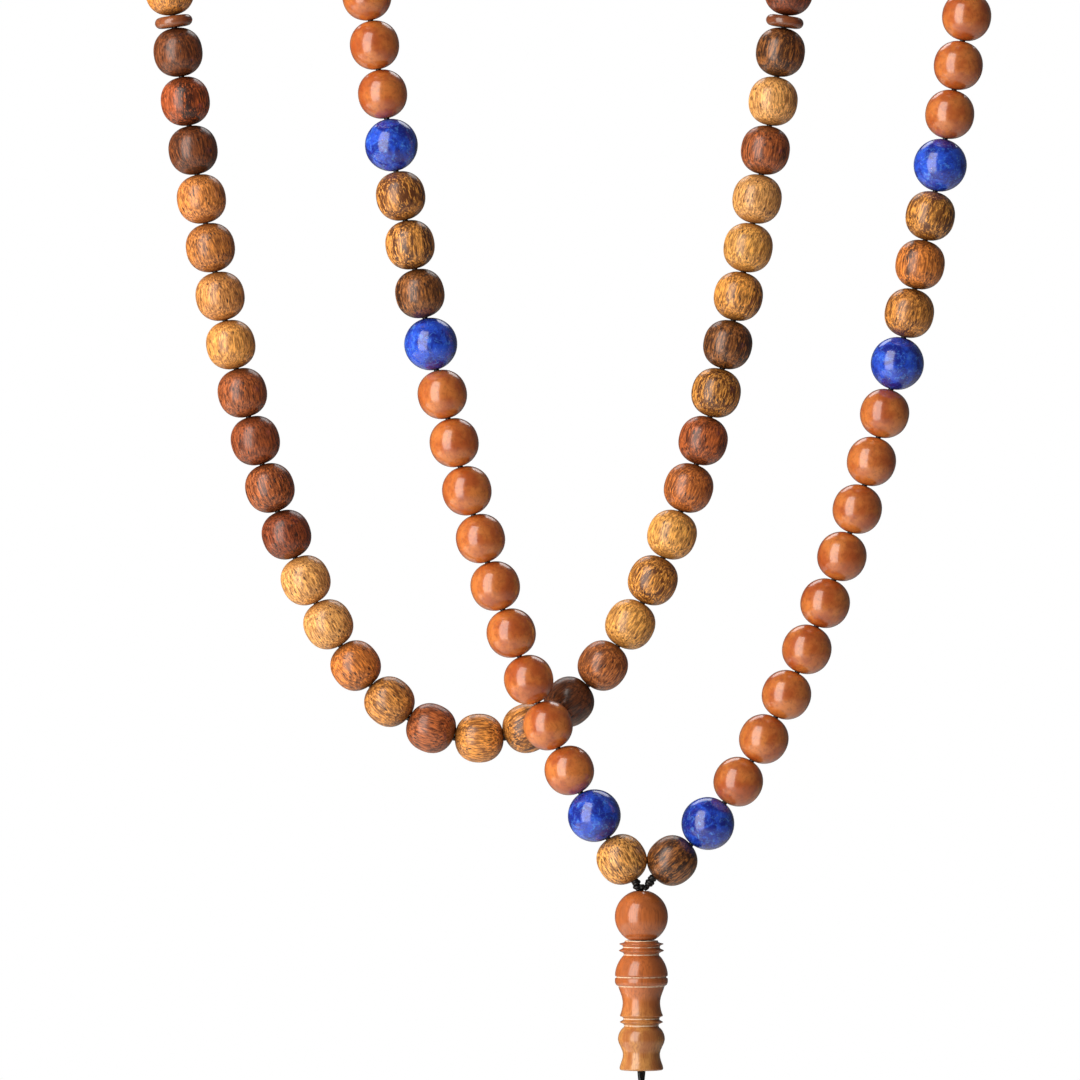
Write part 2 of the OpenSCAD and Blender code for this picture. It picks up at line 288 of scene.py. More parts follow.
def cordMaterial(name, colour, twistPitch, roughness):
    # Waxed cord: twisted from fine plies, pulled through wax, so it is nearly black with a
    # dull shine that breaks up along the ply lines.
    material, add = newMaterial(name)
    place = add("Attribute", {}, "Vector", attribute_name="along")
    parts = add("SeparateXYZ", {0: place}, None)
    angle = add("Math", {0: parts["Y"], 1: parts["X"]}, operation="ARCTAN2")
    phase = add("Math",
                {0: add("Math", {0: angle, 1: 3.0}, operation="MULTIPLY"),
                 1: add("Math", {0: parts["Z"], 1: math.tau / twistPitch}, operation="MULTIPLY")},
                operation="ADD")
    ply = add("Math",
              {0: add("Math", {0: add("Math", {0: phase}, operation="SINE"), 1: 0.5},
                      operation="MULTIPLY"), 1: 0.5}, operation="ADD")
    fluff = add("TexNoise",
                {"Vector": add("VectorMath", {0: place, 1: (2.0, 2.0, 1.0)}, operation="MULTIPLY"),
                 "Scale": 3.0, "Detail": 4.0, "Roughness": 0.6})
    wax = add("MapRange",
              {0: add("TexNoise", {"Vector": place, "Scale": 0.9, "Detail": 2.0}), 1: 0.5, 2: 0.75,
               3: 0.0, 4: 0.35}, interpolation_type="SMOOTHSTEP")
    # Painted shade: the valleys between the plies are painted down to under half the cord's colour
    tone = add("Mix", {0: ply, 6: (*[c * 0.45 for c in linear(colour)], 1), 7: colourOf(colour)}, 2,
               data_type="RGBA")
    tone = add("Mix", {0: wax, 6: tone, 7: colourOf("#3A3A3D")}, 2, data_type="RGBA")
    relief = add("Math", {0: ply, 1: add("Math", {0: fluff, 1: 0.4}, operation="MULTIPLY")},
                 operation="ADD")
    setShader(material,
              {"Base Color": tone,
               "Roughness": add("MapRange",
                                {0: fluff, 1: 0.3, 2: 0.7, 3: roughness - 0.08, 4: roughness + 0.12},
                                interpolation_type="SMOOTHSTEP"), "IOR": 1.45,
               "Normal": add("Bump", {"Height": relief, "Strength": 0.5, "Distance": 0.06 * mm})})
    return material


waxedCord = cordMaterial("waxedCord", "#17171A", 2.4, 0.34)


tail = {
    "length": 33.0,         # mm
    "diameter": 1.9,
    "strandRadius": 0.49,
    "laidRadius": 0.45,     # from the cord's middle to each strand's
    "pitch": 24.0,          # one full turn of the two strands
    "ring": 0.45,           # length of each step along it
}


def tailStrand(turn):
    count = int(tail["length"] / tail["ring"])
    points = []
    for i in range(count + 1):
        down = tail["length"] * i / count
        angle = math.tau * (down / tail["pitch"] + turn)
        points.append(leaderFoot + Vector((math.cos(angle) * tail["laidRadius"],
                                           math.sin(angle) * tail["laidRadius"], -down)) * mm)
    return points


bm = bmesh.new()
for turn in (0.1, 0.6):
    sweepTube(bm, tailStrand(turn), tail["strandRadius"] * mm, 12)
tailCord = finishMesh("tailCord", bm, waxedCord)
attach(tailCord, "tail")
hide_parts("tail_cord")
tailEnd = leaderFoot - Vector((0, 0, tail["length"] * mm))
print("tail cord laid")


knot = {
    "radius": 1.45,         # of the wrapped turns, mm
    "cord": 0.62,
    "turns": 2.6,
    "height": 2.1,
    "below": 1.9,           # its middle, under the end of the cord
    "core": 1.05,
}


def wrapPoints(centre, axis, radius, length, turns, start, count, lean=0.0):
    # A helix wrapped round an axis, drawn in at both ends
    frameOf = turnTo(axis)
    points = []
    for i in range(count + 1):
        t = i / count
        angle = start + math.tau * turns * t
        inward = min(1.0, 6 * t + 0.25, 6 * (1 - t) + 0.25)
        local = Vector((math.cos(angle) * radius * inward, math.sin(angle) * radius * inward,
                        (t - 0.5) * length + lean * math.sin(angle)))
        points.append(centre + (frameOf @ local))
    return points


bm = bmesh.new()
knotMiddle = tailEnd - Vector((0, 0, knot["below"] * mm))
sweepTube(bm, wrapPoints(knotMiddle, Vector((0.1, 0.05, 1)), knot["radius"] * mm,
                         knot["height"] * mm, knot["turns"], 0.4, 60, 0.25 * mm),
          knot["cord"] * mm, 12)
sweepTube(bm, [tailEnd + Vector((0, 0, z * mm)) for z in (0.2, -1, -2, -3, -3.9)],
          knot["core"] * mm, 14, swell=[0.8, 1.15, 1.2, 1.1, 0.7])
tailKnot = finishMesh("tailKnot", bm, waxedCord)
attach(tailKnot, "tail")
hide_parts("tail_knot")
print("tail knot tied")


tassel = {
    "binding": 5.5,         # mm
    "below": 4.37,          # its top, under the end of the cord
    "thread": 0.17,
    "threads": 380,
    "wraps": 15,
    "wrapSteps": 16,        # in one turn
    "headThreads": 64,
    "skirt": 44.0,
    "topRadius": 2.25,
    "footRadius": 5.8,
    "seed": 7,
}


def threadMaterial(name, colour):
    # Rayon thread: smooth and lightly twisted, so the bundle is black with a soft silky
    # shine, and no two threads catch it alike; that difference is painted into their colour.
    material, add = newMaterial(name)
    place = add("Attribute", {}, "Vector", attribute_name="along")
    parts = add("SeparateXYZ", {0: place}, None)
    number = add("Attribute", {}, "Fac", attribute_name="thread")
    # Painted sheen: each thread's colour is shifted between black and dark grey, changing slowly along
    # it
    tone = add("Mix",
               {0: add("TexNoise",
                       {"Vector": add("CombineXYZ",
                                      {"X": number, "Y": 0.0,
                                       "Z": add("Math", {0: parts["Z"], 1: 0.05},
                                                operation="MULTIPLY")}), "Scale": 9.0,
                        "Detail": 2.0}), 6: colourOf(colour), 7: colourOf("#2A2A2E")}, 2,
               data_type="RGBA")
    strand = add("Math",
                 {0: add("Math",
                         {0: add("Math", {0: parts["Z"], 1: 9.0}, operation="MULTIPLY"),
                          1: add("Math", {0: number, 1: 40.0}, operation="MULTIPLY")},
                         operation="ADD")}, operation="SINE")
    setShader(material,
              {"Base Color": tone, "Roughness": 0.46, "IOR": 1.5, "Sheen Weight": 0.25,
               "Sheen Roughness": 0.4,
               "Normal": add("Bump", {"Height": strand, "Strength": 0.35, "Distance": 0.05 * mm})})
    return material


rayonThread = threadMaterial("rayonThread", "#0E0E10")
tasselTop = tailEnd - Vector((0, 0, tassel["below"] * mm))
chance = random.Random(tassel["seed"])

bm = bmesh.new()
points = []
wrapSteps = tassel["wraps"] * tassel["wrapSteps"]
for i in range(wrapSteps + 1):
    t = i / wrapSteps
    swell = 2.42 + 0.22 * math.sin(math.pi * t)
    angle = math.tau * tassel["wraps"] * t
    points.append(tasselTop + Vector((math.cos(angle) * swell, math.sin(angle) * swell,
                                      -1.35 - 3.9 * t)) * mm)
sweepTube(bm, points, tassel["thread"] * mm, 6)
# The threads' looped head, gathered over the top of the binding
for i in range(tassel["headThreads"]):
    angle = math.tau * i / tassel["headThreads"] + chance.uniform(-0.03, 0.03)
    out = Vector((math.cos(angle), math.sin(angle), 0))
    sweepTube(bm, [tasselTop + (out * r + Vector((0, 0, z))) * mm for r, z in (
        (0.5, -0.1), (1.1, 0.0), (1.7, -0.15), (2.15, -0.6), (2.32, -1.2), (2.3, -3), (2.28, -5.5))],
        tassel["thread"] * mm, 5)
# The loop that ties the head to the knot
sweepTube(bm, [tasselTop + Vector((0, 0, z)) * mm for z in (-0.6, -0.1, 0.25, 0.6)], 0.75 * mm, 12)
binding = finishMesh("tasselBinding", bm, rayonThread)
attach(binding, "tassel")
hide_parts("tassel_binding")

bm = bmesh.new()
number = bm.verts.layers.float.new("thread")
skirtTop = tasselTop - Vector((0, 0, (tassel["binding"] - 0.3) * mm))
for i in range(tassel["threads"]):
    share = math.sqrt((i + 0.5) / tassel["threads"])
    angle = i * math.pi * (3 - math.sqrt(5)) + chance.uniform(-0.08, 0.08)
    length = tassel["skirt"] - abs(chance.gauss(0, 0.5))
    wave = chance.uniform(0, math.tau)
    sway = chance.uniform(0.05, 0.22)
    points = []
    for j in range(15):
        t = j / 14
        spread = math.sin(math.pi / 2 * t) ** 0.85
        radius = share * (tassel["topRadius"] + (tassel["footRadius"] - tassel["topRadius"]) * spread)
        turn = angle + 0.12 * math.sin(2.3 * t + wave)
        points.append(skirtTop + Vector((
            math.cos(turn) * radius + sway * t * math.sin(5 * t + wave),
            math.sin(turn) * radius + sway * t * math.cos(4 * t + wave),
            -length * t)) * mm)
    before = len(bm.verts)
    sweepTube(bm, points, tassel["thread"] * mm, 5)
    bm.verts.ensure_lookup_table()
    for vert in bm.verts[before:]:
        vert[number] = i / tassel["threads"]
skirt = finishMesh("tasselSkirt", bm, rayonThread)
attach(skirt, "tassel")
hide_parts("tassel_skirt")
print("tassel made:", tassel["threads"], "threads")


loopCord = {"radius": 0.58, "sides": 10}


def cordLine(points):
    # The points, with each bend rounded over a short stretch
    line = [points[0]]
    for before, here, after in zip(points, points[1:], points[2:]):
        back, on = (before - here).normalized(), (after - here).normalized()
        line += [here + back * 0.35 * mm, here + (back + on) * 0.08 * mm, here + on * 0.35 * mm]
    return line + [points[-1]]


def stretchOf(side, first, last):
    found = list(ends[side][first:last + 1])
    found[0] = found[0] + (found[1] - found[0]).normalized() * 0.06 * mm
    found[-1] = found[-1] + (found[-2] - found[-1]).normalized() * 0.06 * mm
    return found


def makeLoopCord(name, lines, body, node):
    bm = bmesh.new()
    for line in lines:
        sweepTube(bm, cordLine(line), loopCord["radius"] * mm, loopCord["sides"])
    made = finishMesh(name, bm, waxedCord)
    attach(made, body)
    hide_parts(node)


makeLoopCord("frontCord", [stretchOf(side, 0, lastFront + 1) for side in signs],
             "front_loop", "front_cord")
backHalves = [stretchOf(side, lastPeg + 1, len(ends[side]) - 1)[:-1] + [ends[side][-1]]
              for side in signs]
makeLoopCord("backCord", [backHalves[0] + backHalves[1][::-1]], "back_loop", "back_cord")
for side in signs:
    makeLoopCord(side + "PegCord", [stretchOf(side, lastFront + 1, lastPeg + 1)],
                 "held_over_pegs", side + "_peg_cord")
print("loop cords run through")


ties = {
    "cord": 0.34,
    "knotRadius": 0.5,
    "mouth": {"left": (-0.62, -0.1), "right": (0.5, 0.1)},     # x and y in the ball's mouth, mm
    "left": [0.18, 0.62],       # where each knot sits, as a share of the way to the leader
    "right": [0.1, 0.42],
}
junction = leaderTop + Vector((0, 0, 0.6 * mm))
for side in signs:
    bm = bmesh.new()
    top = ends[side][0]
    x, y = ties["mouth"][side]
    way = leaderTop + Vector((x, y, -0.25)) * mm - top
    drop = way.normalized()
    across = drop.cross(Vector((0, 1, 0))).normalized()
    for off in (-0.24, 0.24):
        line = []
        for i in range(25):
            t = i / 24
            angle = math.tau * 1.3 * t
            line.append(top + way * (0.03 + 0.87 * t) + (across * math.cos(angle)
                        + Vector((0, 1, 0)) * math.sin(angle)) * off * mm)
        sweepTube(bm, line, ties["cord"] * mm, 10)
    for n, share in enumerate(ties[side]):
        sweepTube(bm, wrapPoints(top + way * share, drop + across * (0.25 - 0.5 * n),
                                 ties["knotRadius"] * mm, 0.8 * mm, 1.75, 1.2 + n * 2, 48,
                                 0.12 * mm), 0.42 * mm, 10)
    made = finishMesh(side + "CordKnots", bm, waxedCord)
    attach(made, "front_loop")
    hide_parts(side + "_cord_knots")

bm = bmesh.new()
sweepTube(bm, wrapPoints(junction, Vector((0, 0.2, 1)), 0.5 * mm, 0.55 * mm, 1.5, 0.5, 40),
          0.34 * mm, 10)
sweepTube(bm, [junction + Vector((0, 0, z * mm)) for z in (0.4, 0.1, -0.3, -0.8)],
          0.45 * mm, 10)
made = finishMesh("joiningKnot", bm, waxedCord)
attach(made, "joining_knot")
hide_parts("joining_knot")

# The doubled cord through the leader, mm
leaderCord = {
    "strandRadius": 0.55,
    "laidRadius": 0.5,
    "pitch": 9.0,
    "start": 0.7,           # below the leader's top
    "length": 35.2,
}
bm = bmesh.new()
for turn in (0.0, 0.5):
    line = []
    for i in range(72):
        z = -leaderCord["start"] - leaderCord["length"] * i / 71
        angle = math.tau * (z / leaderCord["pitch"] + turn)
        line.append(leaderTop + Vector((math.cos(angle) * leaderCord["laidRadius"],
                                        math.sin(angle) * leaderCord["laidRadius"], z)) * mm)
    sweepTube(bm, line, leaderCord["strandRadius"] * mm, 10)
made = finishMesh("leaderCord", bm, waxedCord)
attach(made, "leader")
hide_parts("leader_cord")
print("knots and leader cord tied")


def ballProfile(radius, half, fullness, hole, mouth, count):
    # Half outline of a drilled ball: the mouth's bevel, then round to the other mouth
    first = math.asin((mouth / radius) ** (fullness / 2))
    outside = []
    for i in range(count + 1):
        t = first + (math.pi - 2 * first) * i / count
        outside.append((radius * math.sin(t) ** (2 / fullness),
                        half * math.copysign(abs(math.cos(t)) ** (2 / fullness), math.cos(t))))
    top = outside[0][1]
    bevel = [(hole, top - 0.16), (hole + 0.02, top - 0.1), (mouth - 0.04, top - 0.01)]
    low = [(r, -z) for r, z in reversed(bevel)]
    return bevel + outside + low


# Outlines of the beads and the disc, and how far off true the turning is, in mm
shapes = {
    "wood": ballProfile(5.02, 5.03, 2.22, 0.66, 0.82, 24),
    "nut": ballProfile(5.02, 5.02, 2.1, 0.66, 0.82, 24),
    "lapis": ballProfile(5.42, 5.38, 2.0, 0.66, 0.8, 24),
    "disc": [(0.66, 1.0), (0.72, 1.1), (1.0, 1.18), (1.8, 1.2), (2.7, 1.16), (3.2, 1.04), (3.55, 0.78),
             (3.78, 0.42), (3.88, 0.0), (3.78, -0.42), (3.55, -0.78), (3.2, -1.04), (2.7, -1.16),
             (1.8, -1.2), (1.0, -1.18), (0.72, -1.1), (0.66, -1.0)],
}
wobble = {"wood": 0.018, "nut": 0.022, "lapis": 0.03, "disc": 0.012}
masters = {}
for kind, profile in shapes.items():
    bm = spun(profile, 44)
    masters[kind] = bpy.data.meshes.new(kind + "Shape")
    bm.to_mesh(masters[kind])
    bm.free()
print("bead shapes turned")


# What each kind of wood bead has: light tone, dark tone, stripes, rings, patch, pores
woodLooks = {
    "dark": ("#6E3F22", "#2E160C", 0.5, 0.4, 0.3, 0.8),
    "redPatch": ("#9A4F28", "#1E0F0A", 0.25, 0.35, 0.75, 0.6),
    "tanOrange": ("#C88648", "#7E4420", 0.25, 0.35, 0.1, 0.6),
    "tanBrown": ("#B5793F", "#6A3A1D", 0.3, 0.4, 0.2, 0.7),
    "tan": ("#C08A50", "#81512A", 0.2, 0.4, 0.1, 0.6),
    "lightOrange": ("#D09A55", "#96592A", 0.15, 0.35, 0.1, 0.4),
    "redBrown": ("#95552F", "#4A2412", 0.4, 0.4, 0.2, 0.8),
    "redMedium": ("#8A4A28", "#4A2110", 0.3, 0.4, 0.3, 0.7),
    "reddishDark": ("#7C3F23", "#3A1A0E", 0.35, 0.4, 0.35, 0.7),
    "light": ("#D0A062", "#9C6635", 0.12, 0.35, 0.0, 0.5),
    "orangeStreak": ("#C27A3A", "#20110A", 0.45, 0.3, 0.45, 0.5),
    "tanEdges": ("#BE8748", "#4A2712", 0.5, 0.35, 0.3, 0.6),
    "goldenPatch": ("#C98C45", "#4E2A14", 0.35, 0.35, 0.45, 0.6),
    "goldenStreak": ("#C68A45", "#3F2210", 0.6, 0.35, 0.15, 0.6),
    "veryDark": ("#6E4226", "#2A150B", 0.4, 0.35, 0.5, 0.8),
    "medium": ("#A9693A", "#5E3219", 0.3, 0.4, 0.2, 0.7),
    "lightGolden": ("#D2A057", "#99622E", 0.15, 0.4, 0.0, 0.5),
    "goldenStriped": ("#C99148", "#5A3016", 0.7, 0.45, 0.0, 0.6),
    "orangeBrown": ("#B06A35", "#6A3819", 0.3, 0.4, 0.15, 0.6),
    "redStriped": ("#A0582E", "#45200F", 0.65, 0.4, 0.1, 0.7),
    "darkStriped": ("#8A5A30", "#26130A", 0.8, 0.4, 0.2, 0.8),
    "speckled": ("#C89654", "#3A2210", 0.15, 0.3, 0.15, 1.0),
    "purpleStriped": ("#C68E4A", "#3A1C18", 0.8, 0.35, 0.1, 0.5),
    "halfHalf": ("#C48C48", "#5E331A", 0.3, 0.35, 0.85, 0.6),
}
# The back loop from the left disc to the right one
backLooks = [
    "dark", "redPatch", "dark", "tanOrange", "tanBrown", "tan", "lightOrange", "redBrown",
    "redMedium", "redBrown", "reddishDark", "light", "light", "orangeStreak", "tanEdges", "redBrown",
    "goldenPatch", "goldenStreak", "veryDark", "medium", "lightGolden", "goldenStriped", "lightGolden",
    "orangeBrown", "redStriped", "goldenStriped", "darkStriped", "goldenStriped", "lightGolden",
    "light", "redBrown", "light", "darkStriped"]
frontLooks = {
    ("left", 0): "speckled", ("right", 0): "darkStriped",
    ("left", 12): "darkStriped", ("left", 13): "purpleStriped", ("left", 14): "halfHalf",
    ("right", 12): "goldenStreak", ("right", 13): "orangeStreak", ("right", 14): "goldenStriped",
}
spare = random.Random(19)
spareLooks = [name for name in woodLooks if name not in ("veryDark", "halfHalf")]


def lookOf(side, index):
    # index counts along the side from the leader; None is the lowest bead of the back loop
    if index is None:
        return backLooks[16]
    if index >= len(pattern) + 1:
        place = index - len(pattern) - 1
        return backLooks[place] if side == "left" else backLooks[32 - place]
    return frontLooks.get((side, index)) or spare.choice(spareLooks)


def addBead(bm, layers, kind, a, b, look, seed):
    # Puts one bead between two ends of the cord's straight stretches
    own = random.Random(seed)
    before = len(bm.verts)
    bm.from_mesh(masters[kind])
    bm.verts.ensure_lookup_table()
    pith = own.uniform(0, math.tau)
    away = own.uniform(9, 26)
    offset = Vector((math.cos(pith) * away, math.sin(pith) * away, 0))
    lean = Matrix.Rotation(own.uniform(-0.12, 0.12), 3, "X")
    lean = lean @ Matrix.Rotation(own.uniform(-0.12, 0.12), 3, "Y")
    place = Matrix.Translation((a + b) / 2) @ turnTo(b - a, own.uniform(0, math.tau))
    size = 1 - own.uniform(0, 0.006)
    shift = Vector((own.uniform(-50, 50), own.uniform(-50, 50), own.uniform(-50, 50)))
    for vert in bm.verts[before:]:
        local = vert.co.copy()
        vert[layers["grain"]] = lean @ local + offset
        vert[layers["shift"]] = shift
        vert[layers["toneLight"]] = look[0]
        vert[layers["toneDark"]] = look[1]
        vert[layers["traits"]] = look[2]
        vert[layers["pores"]] = look[3]
        if local.xy.length > 1.1:       # the drilled hole stays true
            local += local.normalized() * wobble[kind] * noise.noise(local * 0.35 + shift)
        vert.co = place @ (local * size * mm)


def makeBeads(name, node, body, items, material):
    bm = bmesh.new()
    layers = {key: bm.verts.layers.float_vector.new(key)
              for key in ("grain", "shift", "toneLight", "toneDark", "traits")}
    layers["pores"] = bm.verts.layers.float.new("pores")
    for kind, a, b, look, seed in items:
        addBead(bm, layers, kind, a, b, look, seed)
    made = finishMesh(name, bm, material)
    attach(made, body)
    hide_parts(node)


def woodLook(name, seed):
    light, dark, stripes, rings, patch, pores = woodLooks[name]
    own = random.Random(seed)
    shade = own.uniform(0.93, 1.07)
    oil = (1.08, 0.94, 0.84)      # raw wood goes warmer and deeper when it is oiled
    return ([c * o * shade for c, o in zip(linear(light), oil)], linear(dark),
            (stripes, rings, patch), pores)


# What nut, lapis and disc carry in place of a wood look
plain = ((1, 1, 1), (0, 0, 0), (0, 0, 0), 0.0)


def woodMaterial():
    # Hardwood: cut from a stick along the grain, turned, sanded and rubbed with oil, so the
    # growth bands run from hole to hole, the pores show as dark dashes and the shine is soft.
    material, add = newMaterial("oiledHardwood")
    grain = add("Attribute", {}, "Vector", attribute_name="grain")
    shift = add("Attribute", {}, "Vector", attribute_name="shift")
    traits = add("SeparateXYZ", {0: add("Attribute", {}, "Vector", attribute_name="traits")}, None)
    light = add("Attribute", {}, "Vector", attribute_name="toneLight")
    dark = add("Attribute", {}, "Vector", attribute_name="toneDark")
    pores = add("Attribute", {}, "Fac", attribute_name="pores")
    moved = add("VectorMath", {0: grain, 1: shift}, operation="ADD")
    slow = add("VectorMath", {0: moved, 1: (1.0, 1.0, 0.12)}, operation="MULTIPLY")
    bend = add("TexNoise", {"Vector": slow, "Scale": 0.35, "Detail": 3.0, "Roughness": 0.55})
    flat = add("VectorMath", {0: grain, 1: (1.0, 1.0, 0.0)}, operation="MULTIPLY")
    reach = add("Math",
                {0: add("VectorMath", {0: flat}, "Value", operation="LENGTH"),
                 1: add("Math", {0: bend, 1: 2.6}, operation="MULTIPLY")}, operation="ADD")
    # Growth rings, a bit over a millimetre apart, each darker towards its edge
    ring = add("Math", {0: add("Math", {0: reach, 1: 0.85}, operation="MULTIPLY")},
               operation="FRACT")
    edge = add("MapRange", {0: ring, 1: 0.45, 2: 1.0, 3: 0.0, 4: 1.0},
               interpolation_type="SMOOTHSTEP")
    edge = add("Math",
               {0: edge,
                1: add("MapRange", {0: ring, 1: 0.9, 2: 1.0, 3: 1.0, 4: 0.0},
                       interpolation_type="SMOOTHSTEP")}, operation="MULTIPLY")
    # Dark heartwood stripes run with the rings, unevenly spaced
    seedZ = add("SeparateXYZ", {0: shift}, None)
    stripePlace = add("CombineXYZ",
                      {"X": add("Math", {0: reach, 1: 0.62}, operation="MULTIPLY"), "Y": seedZ["X"],
                       "Z": seedZ["Y"]}, None)
    stripeNoise = add("TexNoise",
                      {"Vector": stripePlace[0], "Scale": 1.0, "Detail": 3.0, "Roughness": 0.6})
    fibre = add("TexNoise",
                {"Vector": add("VectorMath", {0: moved, 1: (1.0, 1.0, 0.1)}, operation="MULTIPLY"),
                 "Scale": 1.9, "Detail": 5.0, "Roughness": 0.7})
    ragged = add("Math", {0: add("Math", {0: fibre, 1: 0.5}, operation="SUBTRACT"), 1: 0.5},
                 operation="MULTIPLY")
    cut = add("Math", {0: 0.64, 1: add("Math", {0: traits["X"], 1: 0.24}, operation="MULTIPLY")},
              operation="SUBTRACT")
    stripe = add("Math",
                 {0: add("Math", {0: stripeNoise, 1: cut}, operation="SUBTRACT"), 1: ragged},
                 operation="ADD")
    stripe = add("Math", {0: stripe, 1: 7.0}, operation="MULTIPLY", use_clamp=True)
    stripe = add("Math",
                 {0: stripe,
                  1: add("MapRange", {0: traits["X"], 1: 0.0, 2: 0.6, 3: 0.3, 4: 1.0},
                         interpolation_type="SMOOTHSTEP")}, operation="MULTIPLY")
    # Blotches of darker wood
    blotch = add("TexNoise",
                 {"Vector": add("VectorMath", {0: moved, 1: (1.0, 1.0, 0.45)}, operation="MULTIPLY"),
                  "Scale": 0.16, "Detail": 2.0, "Roughness": 0.5, "Distortion": 0.6})
    cut = add("Math", {0: 0.72, 1: add("Math", {0: traits["Z"], 1: 0.26}, operation="MULTIPLY")},
              operation="SUBTRACT")
    patch = add("Math",
                {0: add("Math", {0: blotch, 1: cut}, operation="SUBTRACT"),
                 1: add("Math", {0: ragged, 1: 0.5}, operation="MULTIPLY")}, operation="ADD")
    patch = add("Math", {0: patch, 1: 7.0}, operation="MULTIPLY", use_clamp=True)
    darkness = add("Math", {0: stripe, 1: patch}, operation="MAXIMUM")
    darkness = add("Math",
                   {0: darkness, 1: add("Math", {0: edge, 1: traits["Y"]}, operation="MULTIPLY")},
                   operation="ADD", use_clamp=True)
    tone = add("Mix", {0: darkness, 6: light, 7: dark}, 2, data_type="RGBA")
    # Short dark and gold fibres about 0.4 mm apart. Real ones are finer, and these are as
    # coarse as they need to be to show.
    fine = add("TexNoise",
               {"Vector": add("VectorMath", {0: moved, 1: (1.0, 1.0, 0.17)}, operation="MULTIPLY"),
                "Scale": 2.7, "Detail": 4.0, "Roughness": 0.72})
    deep = add("VectorMath",
               {0: add("Mix", {0: 0.35, 6: light, 7: dark}, 2, data_type="RGBA"),
                1: (0.3, 0.22, 0.18)}, operation="MULTIPLY")
    tone = add("Mix",
               {0: add("Math",
                       {0: add("MapRange", {0: fine, 1: 0.5, 2: 0.58, 3: 0.0, 4: 1.0},
                               interpolation_type="SMOOTHSTEP"),
                        1: add("Math",
                               {0: 0.48, 1: add("Math", {0: pores, 1: 0.4}, operation="MULTIPLY")},
                               operation="ADD")}, operation="MULTIPLY"), 6: tone, 7: deep}, 2,
               data_type="RGBA")
    gold = add("MapRange", {0: fine, 1: 0.38, 2: 0.49, 3: 0.8, 4: 0.0},
               interpolation_type="SMOOTHSTEP")
    tone = add("Mix",
               {0: gold, 6: tone,
                7: add("VectorMath", {0: light, 1: (1.9, 1.95, 1.7)}, operation="MULTIPLY")}, 2,
               data_type="RGBA")
    # Open pores: dashes about 0.3 by 1 mm, also a little coarser than real ones
    cells = add("TexVoronoi",
                {"Vector": add("VectorMath", {0: moved, 1: (1.0, 1.0, 0.3)}, operation="MULTIPLY"),
                 "Scale": 1.6, "Randomness": 1.0}, None)
    wander = add("Math",
                 {0: cells["Distance"], 1: add("Math", {0: fibre, 1: 0.2}, operation="MULTIPLY")},
                 operation="ADD")
    dash = add("MapRange", {0: wander, 1: 0.28, 2: 0.4, 3: 1.0, 4: 0.0},
               interpolation_type="SMOOTHSTEP")
    pick = add("SeparateColor", {0: cells["Color"]}, None)
    dash = add("Math",
               {0: dash,
                1: add("Math",
                       {0: pick[0], 1: add("Math", {0: pores, 1: 0.8}, operation="MULTIPLY")},
                       operation="LESS_THAN")}, operation="MULTIPLY")
    tone = add("Mix",
               {0: add("Math", {0: dash, 1: 0.85}, operation="MULTIPLY"), 6: tone,
                7: colourOf("#160A05")}, 2, data_type="RGBA")
    # Darker round the holes: painted shade where the beads meet, and partly the end grain that drinks
    # more oil
    height = add("SeparateXYZ", {0: grain}, None)
    endGrainAndShade = add("MapRange",
               {0: add("Math", {0: height["Z"]}, operation="ABSOLUTE"), 1: 3.2, 2: 4.9, 3: 0.0,
                4: 0.62}, interpolation_type="SMOOTHSTEP")
    tone = add("Mix",
               {0: endGrainAndShade, 6: tone,
                7: add("VectorMath", {0: dark, 1: (0.9, 0.9, 0.9)}, operation="MULTIPLY")}, 2,
               data_type="RGBA")
    relief = add("Math", {0: add("Math", {0: fine, 1: -0.6}, operation="MULTIPLY"), 1: dash},
                 operation="SUBTRACT")
    setShader(material,
              {"Base Color": tone,
               "Roughness": add("MapRange", {0: fibre, 1: 0.3, 2: 0.75, 3: 0.3, 4: 0.46},
                                interpolation_type="SMOOTHSTEP"), "IOR": 1.5, "Coat Weight": 0.35,
               "Coat Roughness": 0.16,
               "Normal": add("Bump", {"Height": relief, "Strength": 0.6, "Distance": 0.05 * mm})})
    return material


